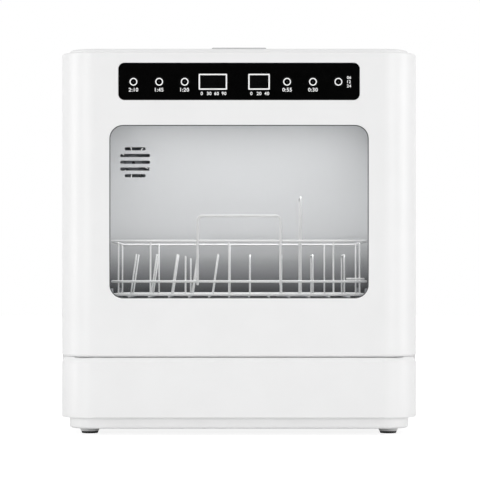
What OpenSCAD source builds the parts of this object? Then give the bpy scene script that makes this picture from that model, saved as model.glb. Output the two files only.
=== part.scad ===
// Countertop dishwasher with a drop-down door, a sliding wire rack and its own water tank.
// Millimetres, +Z up, standing on Z = 0, centred in X and Y. The door faces -Y.

/* [Cabinet] */
// Width over the side panels
body_w = 420; // [410:2:440]
// Depth from the door's face to the rear panel
body_d = 430; // [424:2:450]
// Height of the shoulder where the raised deck starts
shoulder_z = 449.5; // [449.5:0.5:456]
// Height of the raised deck above the shoulder
deck_rise = 4.5; // [3:0.5:6]
// Width of the shoulder around the raised deck
deck_inset = 9; // [7:0.5:12]
// Radius of the cabinet's upright corners
corner_r = 40; // [36:1:44]
// Thickness of the moulded panels
wall = 2.5; // [2:0.1:3]

/* [Base] */
// Height of the feet, pad included
foot_h = 7.8; // [7:0.2:10]
// Height of the recessed plinth
plinth_h = 13; // [11:0.2:14]
// How far the plinth stands back from the panels
plinth_inset = 9; // [6:0.5:12]
// Radius of a foot at its top
foot_r = 12.5; // [10:0.5:13]
// Distance of the feet from the centre line, in X
foot_x = 178; // [170:1:180]
// Distance of the feet from the centre line, in Y
foot_y = 162; // [155:1:184]

/* [Door] */
// Depth of the door, which wraps round the front corners
door_d = 44; // [44:1:48]
// Height of the door's lower edge
door_z = 92.8; // [92:0.2:94]
// Distance of the hinge axis from the door's face and from its lower edge
hinge_in = 7.5; // [7:0.25:8]
// Radius of the hinge pins
hinge_pin_r = 2.25; // [2:0.25:2.5]
// Width of the window
window_w = 303.5; // [290:0.5:306]
// Height of the window
window_h = 203; // [190:1:206]
// Height of the window's lower edge
window_z = 160.9; // [160:0.1:166]
// Corner radius of the window
window_r = 16; // [12:1:20]

/* [Control panel] */
// Width of the gloss panel
fascia_w = 282; // [270:1:290]
// Height of the gloss panel
fascia_h = 43.3; // [42:0.1:46]
// Height of the middle of the gloss panel
fascia_z = 414.7; // [414:0.1:415]
// Radius of a push button
button_r = 6; // [5:0.5:7]
// Travel of a push button
button_travel = 1; // [0.8:0.1:1.2]

/* [Tub] */
// Inner width of the wash tub
tub_w = 344; // [340:1:346]
// Height of the tub's floor
tub_floor_z = 140; // [139:0.5:141]
// Height of the tub's ceiling
tub_top_z = 424; // [420:1:425]
// Inner face of the tub's back wall
tub_back_y = 145; // [140:1:146]
// Reach of the spray arm
arm_reach = 134; // [110:1:136]

/* [Rack] */
// Outer width of the rack
rack_w = 308; // [300:1:308]
// Outer depth of the rack
rack_d = 281; // [260:1:284]
// Height of the rack's upper rail
rail_z = 229; // [225:0.2:240]
// Height of the rack's lower rail
low_rail_z = 180.7; // [178:0.1:186]
// Height of the rack's floor wire
floor_wire_z = 164.8; // [164.8:0.2:167]
// Radius of the frame wire
wire_r = 1.5; // [1.3:0.1:1.6]
// Radius of the thin wire
thin_r = 1.1; // [1:0.1:1.2]
// Width of the rack's handle, between the centres of its legs
handle_w = 99; // [80:1:110]
// Height of the top of the rack's handle
handle_z = 259; // [254:0.5:264]

/* [Hidden] */
$fn = 64;
white = "#f1f1f1";
tub_grey = "#d4d5d6";
steel = "#c9cbcd";
coat = "#eeeeee";
black = "#141416";
grey = "#8c8e90";
rubber = "#2b2b2d";
blue_grey = "#9fb0ba";
eps = 0.02;

// Levels and planes that several pieces share.
front_y = -body_d / 2;
door_back_y = front_y + door_d;
seal_gap = 3;
cab_y = door_back_y + seal_gap;
rear_split_y = -cab_y;
skirt_z = foot_h + plinth_h;
pan_t = 2.5;
pad_t = 2.6;
pan_top_z = skirt_z + pan_t;
inner_w = body_w - 2 * wall;
inner_d = body_d - 2 * wall;
inner_r = corner_r - wall;
deck_z = shoulder_z + deck_rise;
cover_z = shoulder_z - 3;

// Hinge of the door.
hinge_y = front_y + hinge_in;
hinge_z = door_z + hinge_in;
door_chamfer = 2.2;
door_sweep = sqrt(pow(hinge_in, 2) + pow(hinge_in - door_chamfer, 2));
door_play = 0.4;
panel_top_z = door_z - door_play;
panel_bevel = 3.9;
panel_bevel_h = 6.4;
ear_x = 154;
ear_t = 4;
lug_t = 4;
lug_r = 4.2;

// Door.
door_wall = 3;
pane_t = 3.5;
liner_t = 2.5;
liner_recess = 18.5;
recess_y = door_back_y - liner_recess;
recess_w = 336;
recess_z0 = 131;
recess_z1 = 425.5;
window_mid_z = window_z + window_h / 2;

// Tub.
tub_t = 2;
tub_h = tub_top_z - tub_floor_z;
tub_mid_z = (tub_top_z + tub_floor_z) / 2;
tub_r = 20;
gasket_w = 358;
gasket_z0 = 124;
gasket_z1 = 431;
hub_y = -8;
sump_x = 78;
sump_y = -72;

// Rack.
rack_front_y = -160.6;
loop_w = rack_w - 2 * wire_r;
loop_d = rack_d - 2 * wire_r;
rack_mid_y = rack_front_y + loop_d / 2 + wire_r;
loop_r = 14;
grid_z = floor_wire_z - wire_r - thin_r + 0.3;
foot_wire_z = grid_z + 0.9;
side_post_y = [-30, 60];
end_wire_x = 129;
end_wire_y = rack_front_y + 5;
end_wire_z = low_rail_z + 3.2;
end_bend_r = 4;
channel_x = 158;

// Fill port, over the tank.
port_x = 95;
port_w = 96;
port_d = 40;
port_y = 176;
port_knuckle = 2.4;
port_hinge_y = port_y + port_d / 2;
port_hinge_z = deck_z - port_knuckle;
port_floor_z = deck_z - 6;

// Fan.
fan_x = -142;
fan_z = 340;
fan_y0 = 158;
fan_t = 25;
fan_r = 27;
fan_blades = 9;
blade_tilt = 26;

// Button and display places along the panel.
button_x = [-123.5, -93.4, -63.6, 56.2, 86.4, 116.2];
display = [[-30.6, 33.2], [23.4, 25.2]];
display_h = 18.6;
panel_row_z = fascia_z - 0.4;
key_l = 4.6;

// ---- Shared shapes ----

// Rectangle with round corners.
module rounded(w, d, r) {
    square([w - 2 * r, d], center = true);
    square([w, d - 2 * r], center = true);
    for (x = [-1, 1], y = [-1, 1])
        translate([x * (w / 2 - r), y * (d / 2 - r)]) circle(r);
}

// Slab with round upright corners, from height z0 to z1.
module slab(w, d, r, z0, z1) {
    translate([0, 0, z0]) linear_extrude(z1 - z0) rounded(w, d, r);
}

// Plate that faces the front, drawn in X and Z, from depth y0 to y1.
module facing(y0, y1) {
    translate([0, y1, 0]) rotate([90, 0, 0]) linear_extrude(y1 - y0) children();
}

// Plate that faces the side, drawn in Y and Z, from x0 to x1.
module sideways(x0, x1) {
    translate([x0, 0, 0]) rotate([90, 0, 90]) linear_extrude(x1 - x0) children();
}

// Box between two corners.
module block(a, b) {
    translate(a) cube(b - a);
}

// Box that is mirrored to both sides of the middle.
module side_blocks(a, b) {
    for (s = [0, 1]) mirror([s, 0, 0]) block(a, b);
}

// Slab whose sides lean: they stand back by c0 at height z0 and by c1 at height z1.
module taper(w, d, r, z0, z1, c0, c1) {
    h = z1 - z0;
    for (x = [-1, 1], y = [-1, 1]) translate([x * (w / 2 - r), y * (d / 2 - r), z0])
        cylinder(r1 = r - c0, r2 = r - c1, h = h);
    translate([0, d / 2 - r, z0]) rotate([90, 0, 0]) linear_extrude(d - 2 * r)
        polygon([[c0 - w / 2, 0], [w / 2 - c0, 0], [w / 2 - c1, h], [c1 - w / 2, h]]);
    translate([r - w / 2, 0, z0]) rotate([90, 0, 90]) linear_extrude(w - 2 * r)
        polygon([[c0 - d / 2, 0], [d / 2 - c0, 0], [d / 2 - c1, h], [c1 - d / 2, h]]);
}

// Solid cabinet outline between two heights, with a bevelled lower and upper edge.
module body_form(z0, z1, low, top) {
    taper(body_w, body_d, corner_r, z0, z0 + low, low, 0);
    slab(body_w, body_d, corner_r, z0 + low, z1 - top);
    taper(body_w, body_d, corner_r, z1 - top, z1, 0, top);
}

// Raised deck, set in from the shoulder, with a softened edge.
module deck_form() {
    w = body_w - 2 * deck_inset;
    d = body_d - 2 * deck_inset;
    r = corner_r - deck_inset;
    slab(w, d, r, shoulder_z - 0.5, deck_z - 2.4);
    taper(w, d, r, deck_z - 2.4, deck_z - 0.9, 0, 0.8);
    taper(w, d, r, deck_z - 0.9, deck_z, 0.8, 2.5);
}

// Round bar along X, Y or Z from a start point.
module bar_x(p, l, r) {
    translate(p) rotate([0, 90, 0]) cylinder(r = r, h = l);
}
module bar_y(p, l, r) {
    translate(p) rotate([-90, 0, 0]) cylinder(r = r, h = l);
}
module bar_z(p, l, r) {
    translate(p) cylinder(r = r, h = l);
}

// Quarter bend of a round bar, lying flat, from +X round to +Y.
module bend(ring_r, r) {
    rotate_extrude(angle = 90) translate([ring_r, 0]) circle(r, $fn = 24);
}

// ---- Base ----

module base_pan() {
    skirt_w = body_w - 2 * plinth_inset;
    skirt_d = body_d - 2 * plinth_inset;
    skirt_r = corner_r - plinth_inset;
    color(white) difference() {
        union() {
            difference() {
                union() {
                    taper(skirt_w, skirt_d, skirt_r, foot_h, foot_h + 1, 2.4, 0.8);
                    taper(skirt_w, skirt_d, skirt_r, foot_h + 1, foot_h + 2.8, 0.8, 0);
                    slab(skirt_w, skirt_d, skirt_r, foot_h + 2.8, skirt_z);
                }
                slab(skirt_w - 6, skirt_d - 6, skirt_r - 3, foot_h - 1, skirt_z + 1);
            }
            slab(inner_w - 0.4, inner_d - 0.4, inner_r - 0.2, skirt_z, pan_top_z);
            // Upstand that the panels are screwed to.
            difference() {
                slab(inner_w - 0.4, inner_d - 0.4, inner_r - 0.2, pan_top_z, pan_top_z + 9);
                slab(inner_w - 4.4, inner_d - 4.4, inner_r - 2.2, pan_top_z - 1, pan_top_z + 10);
            }
            // Foot bosses, and ribs that tie them together under the floor.
            for (x = [-1, 1], y = [-1, 1])
                bar_z([x * foot_x, y * foot_y, foot_h], skirt_z - foot_h + eps, foot_r);
            for (x = [-foot_x, -60, 60, foot_x])
                block([x - 1, -skirt_d / 2 + 2, foot_h + 3], [x + 1, skirt_d / 2 - 2, skirt_z + eps]);
            for (y = [-foot_y, -90, 0, 90, foot_y])
                block([-skirt_w / 2 + 2, y - 1, foot_h + 3], [skirt_w / 2 - 2, y + 1, skirt_z + eps]);
            // Pedestals of the pumps, the heater and the board.
            for (p = [[-150, -60], [-60, -60], [-150, 0], [-60, 0], [30, -20], [30, 40],
                      [120, -20], [120, 40], [40, 70], [40, 140], [160, 70], [160, 140]])
                bar_z([p[0], p[1], pan_top_z - eps], 6.7 + eps, 6);
        }
        // Foot sockets.
        for (x = [-1, 1], y = [-1, 1])
            bar_z([x * foot_x, y * foot_y, foot_h - 1], 11, 4.1);
        // Cooling slots under the pumps and the board.
        for (i = [0:8])
            block([-40, -150 + i * 12, skirt_z - 6], [20, -145 + i * 12, pan_top_z + 1]);
        for (i = [0:5])
            block([66, 76 + i * 12, skirt_z - 6], [134, 81 + i * 12, pan_top_z + 1]);
    }
}

module feet() {
    color(grey) for (x = [-1, 1], y = [-1, 1]) translate([x * foot_x, y * foot_y, 0]) {
        translate([0, 0, pad_t]) cylinder(r1 = foot_r - 2, r2 = foot_r, h = foot_h - pad_t);
        bar_z([0, 0, foot_h - eps], 9, 4);
    }
}

module foot_pads() {
    color(rubber) for (x = [-1, 1], y = [-1, 1]) translate([x * foot_x, y * foot_y, 0])
        rotate_extrude() polygon([[0, 0], [9, 0], [10, 0.8], [10, pad_t], [3, pad_t], [3, pad_t - 1], [0, pad_t - 1]]);
}

// ---- Cabinet panels ----

module lower_panel() {
    color(white) difference() {
        union() {
            taper(body_w, body_d, corner_r, skirt_z, skirt_z + 1.2, 1, 0);
            slab(body_w, body_d, corner_r, skirt_z + 1.2, panel_top_z - panel_bevel_h);
            taper(body_w, body_d, corner_r, panel_top_z - panel_bevel_h, panel_top_z,
                  0, panel_bevel);
        }
        slab(inner_w, inner_d, inner_r, skirt_z - 1, panel_top_z - panel_bevel_h - 1);
        slab(inner_w - 8, inner_d - 8, inner_r - 4, skirt_z, panel_top_z - 4);
        // Trough that the door's lower edge turns in.
        bar_x([-body_w, hinge_y, hinge_z], 2 * body_w, door_sweep + door_play);
        block([-body_w, cab_y - 0.3, 0], [body_w, body_d, 120]);
    }
    // Stiffening ribs inside the front wall.
    color(white) for (i = [-3:3])
        block([i * 44 - 1, front_y + wall - eps, 36], [i * 44 + 1, front_y + wall + 7, 83]);
}

// Side panel with a turned-in flange at the front and ribs inside.
module side_panel() {
    z1 = cover_z;
    difference() {
        union() {
            block([body_w / 2 - wall, cab_y, skirt_z], [body_w / 2, rear_split_y - 0.2, z1]);
            for (y = [-110, -40, 40, 110])
                block([body_w / 2 - wall - 4, y - 1, 130], [body_w / 2 - wall + eps, y + 1, z1 - 14]);
            block([body_w / 2 - wall - 8, cab_y + 20, z1 - 10],
                  [body_w / 2 - wall + eps, rear_split_y - 22, z1 - 7]);
        }
        // Louvres beside the machine compartment.
        for (i = [0:5]) translate([body_w / 2, 60 + i * 14, 66]) rotate([0, 90, 0])
            translate([0, 0, -6]) linear_extrude(12) rounded(46, 5, 2.4);
    }
}

module left_side_panel() {
    color(white) mirror([1, 0, 0]) side_panel();
}

module right_side_panel() {
    color(white) side_panel();
}

// Pocket in the rear panel that the hose connectors stand in.
pocket_x0 = -186;
pocket_x1 = -92;
pocket_z0 = 38;
pocket_z1 = 98;
pocket_y = 187;

// Spigots of the two hoses.
inlet_x = -160;
drain_x = -116;
spigot_z = 68;
spigot_end_y = 211;
shoulder_y = pocket_y + 2.3;

module rear_panel() {
    z1 = cover_z;
    color(white) difference() {
        union() {
            difference() {
                slab(body_w, body_d, corner_r, skirt_z, z1);
                slab(inner_w, inner_d, inner_r, skirt_z - 1, z1 + 1);
                block([-body_w, -body_d, 0], [body_w, rear_split_y, z1 + 1]);
            }
            intersection() {
                block([pocket_x0 - 2, pocket_y, pocket_z0 - 2],
                      [pocket_x1 + 2, body_d / 2, pocket_z1 + 2]);
                slab(body_w - 2, body_d - 2, corner_r - 1, pocket_z0 - 3, pocket_z1 + 3);
            }
            // Fan shroud ring.
            bar_y([fan_x, body_d / 2 - wall - 6, fan_z], 6 + eps, fan_r + 3);
        }
        difference() {
            block([pocket_x0, pocket_y + 2, pocket_z0], [pocket_x1, body_d, pocket_z1]);
        }
        bar_y([inlet_x, pocket_y - 1, spigot_z], 4, 13.4);
        bar_y([drain_x, pocket_y - 1, spigot_z], 4, 9.2);
        // Round grille with ring-shaped bars.
        difference() {
            bar_y([fan_x, body_d / 2 - wall - 8, fan_z], 20, fan_r);
            for (r = [5:7:26]) facing(0, body_d) translate([fan_x, fan_z]) difference() {
                circle(r + 1);
                circle(r - 1);
            }
            facing(0, body_d) for (a = [0:60:120]) translate([fan_x, fan_z]) rotate(a)
                square([2 * fan_r + 2, 2.4], center = true);
        }
        // Seats of the screws.
        for (x = [-170, 0, 170], z = [120, 430]) {
            bar_y([x, body_d / 2 - wall + 0.65, z], 4, 3.4);
            bar_y([x, body_d / 2 - wall - 1, z], 4, 1.6);
        }
        // Hole of the cord gland.
        bar_y([150, body_d / 2 - wall - 1, 52], 6, 7.1);
        // Cooling slots behind the machine compartment.
        for (i = [0:9]) facing(body_d / 2 - wall - 1, body_d) translate([-30 + i * 14, 72])
            rounded(5, 50, 2.4);
    }
}

module top_cover() {
    color(white) difference() {
        union() {
            difference() {
                union() {
                    body_form(cover_z, shoulder_z, 0.4, 1.2);
                    deck_form();
                    // Skirt that drops inside the panels.
                    difference() {
                        slab(inner_w - 0.4, inner_d - 0.4, inner_r - 0.2, cover_z - 6, cover_z + 1);
                        side_blocks([180, cab_y, cover_z - 7], [220, rear_split_y, cover_z - 0.2]);
                        block([-220, -220, cover_z - 7], [220, cab_y + 20, cover_z - 0.2]);
                    }
                }
                // Hollow underside.
                slab(body_w - 2 * deck_inset - 6, body_d - 2 * deck_inset - 6,
                     corner_r - deck_inset - 3, cover_z - 8, deck_z - 2.6);
            }
            // Ribs under the deck.
            for (x = [-150:60:150])
                block([x - 1, cab_y + 4, cover_z + 0.5], [x + 1, 140, deck_z - 2]);
            for (y = [-130:66:136])
                block([-190, y - 1, cover_z + 0.5], [190, y + 1, deck_z - 2]);
            // Tray round the fill port.
            block([port_x - port_w / 2 - 3.4, port_y - port_d / 2 - 3.4, port_floor_z - 2.5],
                  [port_x + port_w / 2 + 3.4, port_hinge_y + 6.4, deck_z - 0.5]);
        }
        block([-body_w, -body_d, 0], [body_w, cab_y, deck_z + 10]);
        // Recess for the lid.
        translate([port_x, port_y + 1.5, port_floor_z]) linear_extrude(20)
            rounded(port_w + 0.8, port_d + 3.8, 1);
        // Finger dip in front of the lid.
        translate([port_x, port_y - port_d / 2, deck_z + 3]) scale([1, 0.6, 0.45]) sphere(12);
        // Port opening and the bores of the lid's pivots.
        slab_at(port_x, port_y - 2, 62, 26, 8, cover_z - 10, deck_z);
        bar_x([port_x - port_w / 2 - 3.4, port_hinge_y, port_hinge_z], port_w + 6.8, 1.55);
    }
}

// Slab with its middle away from the origin.
module slab_at(x, y, w, d, r, z0, z1) {
    translate([x, y, 0]) slab(w, d, r, z0, z1);
}

module fill_lid() {
    color(white) difference() {
        union() {
            translate([port_x, port_y, port_hinge_z]) linear_extrude(port_knuckle)
                rounded(port_w, port_d, 2.5);
            bar_x([port_x - port_w / 2, port_hinge_y, port_hinge_z], port_w, port_knuckle);
            bar_x([port_x - port_w / 2 - 2.8, port_hinge_y, port_hinge_z], port_w + 5.6, 1.5);
            // Plug rim that centres the lid in the port.
            difference() {
                slab_at(port_x, port_y - 2, 58, 22, 6, port_hinge_z - 3.4, port_hinge_z + eps);
                slab_at(port_x, port_y - 2, 54, 18, 4, port_hinge_z - 4, port_hinge_z + 0.2);
            }
        }
        // Finger notch in the front edge.
        translate([port_x, port_y - port_d / 2, port_hinge_z - 1]) cylinder(r = 7, h = 5);
    }
}

module fill_neck() {
    color(tub_grey) difference() {
        union() {
            slab_at(port_x, port_y - 2, 65, 29, 9.5, 404, port_floor_z - 2.7);
            slab_at(port_x, port_y - 2, 74, 36, 12, port_floor_z - 5.2, port_floor_z - 2.7);
        }
        slab_at(port_x, port_y - 2, 61, 25, 7.5, 403, port_floor_z);
    }
}

// ---- Front frame, hinges and latch of the cabinet ----

module frame_outline() {
    translate([0, (446 + 34) / 2]) square([inner_w - 0.8, 446 - 34], center = true);
}

module mouth_outline(grow = 0) {
    translate([0, tub_mid_z]) rounded(tub_w + 2 * grow, tub_h + 2 * grow, tub_r + grow);
}

module front_frame() {
    color(tub_grey) difference() {
        union() {
            facing(cab_y, cab_y + 2.5) frame_outline();
            facing(cab_y, cab_y + 18) difference() {
                frame_outline();
                translate([0, 240]) square([inner_w - 4.8, 408], center = true);
            }
            // Corner gussets and a crossbar below the mouth.
            block([-204, cab_y + 2, 112], [204, cab_y + 12, 114]);
            for (x = [-180, -120, -60, 0, 60, 120, 180])
                block([x - 1, cab_y + 2, 40], [x + 1, cab_y + 10, 113]);
        }
        facing(cab_y - 1, cab_y + 4) mouth_outline(tub_t);
        // Seat of the gasket.
        facing(cab_y - 1, cab_y + 1.2) gasket_outline(2.1);
        // Slots for the hinge ears and the latch.
        side_blocks([ear_x - 3, cab_y - 1, hinge_z - 6], [ear_x + 3, cab_y + 14, hinge_z + 6]);
        block([-12, cab_y - 1, 436.2], [12, cab_y + 14, 445.4]);
        // Screw holes of the hinge brackets.
        for (x = [-ear_x, ear_x], dx = [-8, 8])
            bar_y([x + dx, cab_y - 1, hinge_z], 6, 1.6);
    }
}

// Ring that follows the tub's mouth, half as wide as the value given on each side.
module gasket_outline(half) {
    h = gasket_z1 - gasket_z0;
    translate([0, (gasket_z0 + gasket_z1) / 2]) difference() {
        rounded(gasket_w + 2 * half, h + 2 * half, 27 + half);
        rounded(gasket_w - 2 * half, h - 2 * half, 27 - half);
    }
}

module tub_gasket() {
    color(grey) {
        facing(cab_y, cab_y + 1.2) gasket_outline(2);
        facing(cab_y - 1.4, cab_y) gasket_outline(3);
        facing(cab_y - 2.6, cab_y - 1.4) gasket_outline(1.8);
    }
}

module hinge_brackets() {
    color(steel) for (s = [0, 1]) mirror([s, 0, 0]) difference() {
        union() {
            // Ear that reaches forward to the pin.
            sideways(ear_x - ear_t / 2, ear_x + ear_t / 2) hull() {
                translate([hinge_y, hinge_z]) circle(lug_r, $fn = 32);
                translate([cab_y + 4, hinge_z - lug_r]) square([1, 2 * lug_r]);
            }
            block([ear_x - 12, cab_y + 2.5, hinge_z - 9], [ear_x + 12, cab_y + 5, hinge_z + 9]);
        }
        bar_x([ear_x - 10, hinge_y, hinge_z], 20, hinge_pin_r);
        for (dx = [-8, 8])
            bar_y([ear_x + dx, cab_y, hinge_z], 8, 1.6);
    }
}

module hinge_pins() {
    l = ear_t + 2 * lug_t + 3;
    color(steel) for (s = [0, 1]) mirror([s, 0, 0]) {
        bar_x([ear_x - l / 2, hinge_y, hinge_z], l, hinge_pin_r);
        bar_x([ear_x + l / 2, hinge_y, hinge_z], 1.2, hinge_pin_r + 1);
    }
}

module latch_housing() {
    z0 = 431;
    z1 = 443.9;
    color(black) difference() {
        union() {
            block([-18, cab_y + 4.7, z0], [18, cab_y + 26, z1]);
            block([-28, cab_y + 2.5, 436.3], [28, cab_y + 7, z1]);
        }
        block([-10.4, cab_y, 436.2], [10.4, cab_y + 23, z1 + 1]);
        for (x = [-23, 23]) bar_y([x, cab_y, 440], 8, 1.6);
    }
    // Plunger of the door switch.
    color(grey) bar_y([0, cab_y + 19, 439], 4.5, 1.6);
}

// ---- Tub ----

module tub() {
    color(tub_grey) difference() {
        union() {
            facing(cab_y, tub_back_y + tub_t) mouth_outline(tub_t);
            facing(cab_y + 2.6, cab_y + 4.6) translate([0, tub_mid_z]) rounded(376, 308, 36);
            // Sump collar and hub collar under the floor.
            bar_z([sump_x, sump_y, tub_floor_z - 6], 5, 48);
            bar_z([0, hub_y, tub_floor_z - 8], 7, 22);
        }
        difference() {
            facing(cab_y - 1, tub_back_y) mouth_outline();
            // Stiffening ribs pressed into the side walls.
            for (s = [-1, 1], y = [-90, -10, 70])
                translate([s * (tub_w / 2 + 1), y, 240]) cylinder(r = 4, h = 140);
        }
        bar_z([sump_x, sump_y, 120], 30, 42);
        bar_z([0, hub_y, 120], 30, 12.2);
        // Warm air comes in through slots in the back wall.
        for (i = [-2:2]) facing(tub_back_y - 8, tub_back_y + 4)
            translate([fan_x + 3, fan_z + i * 9]) rounded(i * i < 4 ? 40 : 28, 4.4, 2);
    }
}

// Channels that the rack's shoes run in; their backs follow the tub's rounded corners.
module rack_rails() {
    front = cab_y + 18;
    color(grey) for (s = [0, 1]) mirror([s, 0, 0]) intersection() {
        union() {
            facing(front, 140) difference() {
                translate([channel_x, 148.6]) square([tub_w / 2 - channel_x, 15]);
                translate([channel_x - 1, 152]) square([11, 8.6]);
            }
            // Screw bosses and the stop at the back end.
            for (y = [-120, -10, 100]) bar_x([166.6, y, 156], 1.6, 3.2);
            block([channel_x, 134, 151], [170, 140, 161]);
        }
        facing(front - 1, 141) mouth_outline(-0.05);
    }
}

module sump() {
    color(grey) difference() {
        union() {
            translate([sump_x, sump_y, 0]) rotate_extrude() polygon([
                [0, 82], [26, 82], [31, 85], [41, 131], [50, 131], [50, 134], [0, 134]
            ]);
            // Outlet spouts towards the two pumps.
            bar_x([sump_x - 62, sump_y, 92], 50, 10);
            bar_y([sump_x, sump_y + 10, 94], 44, 8);
        }
        translate([sump_x, sump_y, 0]) rotate_extrude()
            polygon([[0, 84.4], [25, 84.4], [28.8, 86.6], [38.8, 131], [39.2, 136], [0, 136]]);
        bar_x([sump_x - 63, sump_y, 92], 50, 8);
        bar_y([sump_x, sump_y + 11, 94], 44, 6);
    }
}

module filter_basket() {
    color(grey) translate([sump_x, sump_y, 0]) difference() {
        union() {
            bar_z([0, 0, 88], 56, 24);
            bar_z([0, 0, 141.6], 2.2, 31);
            // Grip ring and bar.
            difference() {
                bar_z([0, 0, 143], 3.4, 18);
                bar_z([0, 0, 140], 8, 15.5);
            }
        }
        bar_z([0, 0, 90], 60, 22.2);
        // Mesh windows.
        for (a = [0:30:330], z = [94:15:124]) rotate(a)
            block([18, -3.4, z], [30, 3.4, z + 11]);
    }
    color(grey) block([sump_x - 16.5, sump_y - 2, 143.2], [sump_x + 16.5, sump_y + 2, 146.2]);
}

module filter_plate() {
    color(steel) translate([sump_x, sump_y, 0]) difference() {
        bar_z([0, 0, tub_floor_z], 1.5, 55);
        bar_z([0, 0, tub_floor_z - 1], 4, 25);
        for (a = [0:15:345]) rotate(a) translate([0, 0, tub_floor_z - 1]) linear_extrude(4)
            translate([40.5, 0]) rounded(16, 3, 1.4);
    }
}

module spray_hub() {
    color(grey) difference() {
        union() {
            bar_z([0, hub_y, 121.5], tub_floor_z - 121.5 + 5, 12);
            bar_z([0, hub_y, tub_floor_z], 5, 20);
            bar_z([0, hub_y, tub_floor_z], 21, 7);
        }
        bar_z([0, hub_y, 117], 26, 9.5);
        bar_z([0, hub_y, 130], 40, 5);
        for (a = [0:90:270]) translate([0, hub_y, 148.2]) rotate(a)
            block([3, -2, 0], [9, 2, 6]);
    }
}

module spray_arm() {
    color(grey) translate([0, hub_y, 0]) difference() {
        union() {
            bar_z([0, 0, 146.4], 11, 17);
            for (a = [0, 180]) rotate(a) hull() {
                translate([10, 0, 147.5]) scale([1, 1, 1]) cylinder(r1 = 15, r2 = 11, h = 8, $fn = 32);
                translate([arm_reach - 12, -3, 148]) cylinder(r1 = 12, r2 = 8, h = 6.4, $fn = 32);
            }
        }
        bar_z([0, 0, 140], 30, 7.06);
        // Jets, the last one slanted to drive the arm round.
        for (a = [0, 180], i = [0:4]) rotate(a) translate([34 + i * 19, -1.2, 151]) linear_extrude(8)
            rounded(6, 2.2, 1);
        for (a = [0, 180]) rotate(a) translate([arm_reach - 9, -4, 150]) rotate([38, 0, 0])
            cylinder(r = 1.4, h = 12);
    }
}

module spray_arm_cap() {
    color(grey) translate([0, hub_y, 0]) difference() {
        union() {
            bar_z([0, 0, 157.6], 3.4, 12);
            for (a = [0:45:315]) rotate(a) bar_z([11.4, 0, 157.6], 3.4, 1.4);
        }
        bar_z([0, 0, 150], 14, 7);
    }
}

// ---- Machinery under and behind the tub ----

module wash_pump() {
    // The motor lies along X beside its volute.
    color(grey) difference() {
        union() {
            bar_x([-70, -30, 72], 26, 34);
            bar_x([-44, -30, 72], 14, 12);
            bar_z([-57, -30, 72], 34, 11);
            for (x = [-150, -60]) block([x - 8, -68, 30], [x + 8, 8, 33]);
        }
        bar_x([-68, -30, 72], 22, 31);
        bar_x([-50, -30, 72], 22, 9.5);
        bar_z([-57, -30, 90], 30, 9);
    }
    color(steel) {
        bar_x([-150, -30, 72], 80, 29);
        bar_x([-156, -30, 72], 6, 24);
        // Cooling fins and saddles.
        for (x = [-142:8:-80]) bar_x([x, -30, 72], 2, 31);
        for (x = [-150, -60]) block([x - 4, -48, 33], [x + 4, -12, 50]);
    }
    // Impeller on its shaft.
    color(black) {
        bar_x([-72, -30, 72], 16, 6);
        for (a = [0:60:300]) translate([-64, -30, 72]) rotate([a, 0, 0])
            block([0, -1, 4], [9, 1, 26]);
    }
}

module drain_pump() {
    color(grey) {
        difference() {
            union() {
                bar_y([sump_x, -17, 94], 20, 22);
                bar_x([sump_x, -7, 94], 36, 8);
            }
            bar_y([sump_x, -18.5, 94], 18, 19);
            bar_x([sump_x, -7, 94], 40, 6);
        }
        // Socket that fits over the sump's spout.
        difference() {
            bar_y([sump_x, -28, 94], 11.2, 10);
            bar_y([sump_x, -29, 94], 12, 8.05);
        }
    }
    color(steel) {
        bar_y([sump_x, 3, 94], 34, 17);
        block([sump_x - 14, 8, 30.2], [sump_x + 14, 30, 79]);
        block([sump_x - 50, 14, 30.2], [sump_x + 46, 26, 33]);
    }
}

// Water goes from the pump up to the spray hub.
module riser_pipe() {
    turn = atan2(hub_y + 30, 57);
    reach = sqrt(pow(57, 2) + pow(hub_y + 30, 2));
    z = 114;
    color(black) difference() {
        union() {
            bar_z([-57, -30, 106.1], z - 106.1, 9);
            translate([-57, -30, z]) sphere(9);
            translate([-57, -30, z]) rotate([0, 90, turn]) cylinder(r = 6.5, h = reach);
            translate([0, hub_y, z]) sphere(8);
            bar_z([0, hub_y, z], 7.4, 11);
        }
        bar_z([-57, -30, 106], 8, 6);
        bar_z([0, hub_y, z], 9, 6);
        translate([-57, -30, z]) rotate([0, 90, turn]) cylinder(r = 4.5, h = reach);
    }
}

module heater() {
    // Flat coil of a tubular element under the tub floor.
    color(steel) {
        for (s = [0, 1]) translate([-110, 60 + s * 60, 128]) rotate([0, 90, 0]) cylinder(r = 4, h = 80);
        translate([-30, 90, 128]) rotate(-90) rotate_extrude(angle = 180) translate([30, 0])
            circle(4, $fn = 32);
        for (s = [0, 1]) bar_x([-124, 60 + s * 60, 128], 14, 6);
        block([-128, 50, 120], [-124, 130, 136]);
    }
}

module drain_hose() {
    color(black) difference() {
        union() {
            bar_x([sump_x + 30, -7, 94], 40, 10);
            translate([sump_x + 70, 13, 94]) rotate(-90) bend(20, 10);
            bar_y([sump_x + 90, 13, 94], 137, 10);
            translate([sump_x + 70, 150, 94]) bend(20, 10);
            bar_x([-96, 170, 94], sump_x + 166, 10);
            translate([-96, 160, 94]) rotate(90) bend(10, 10);
        }
        bar_x([sump_x + 29, -7, 94], 8, 8);
    }
}

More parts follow.
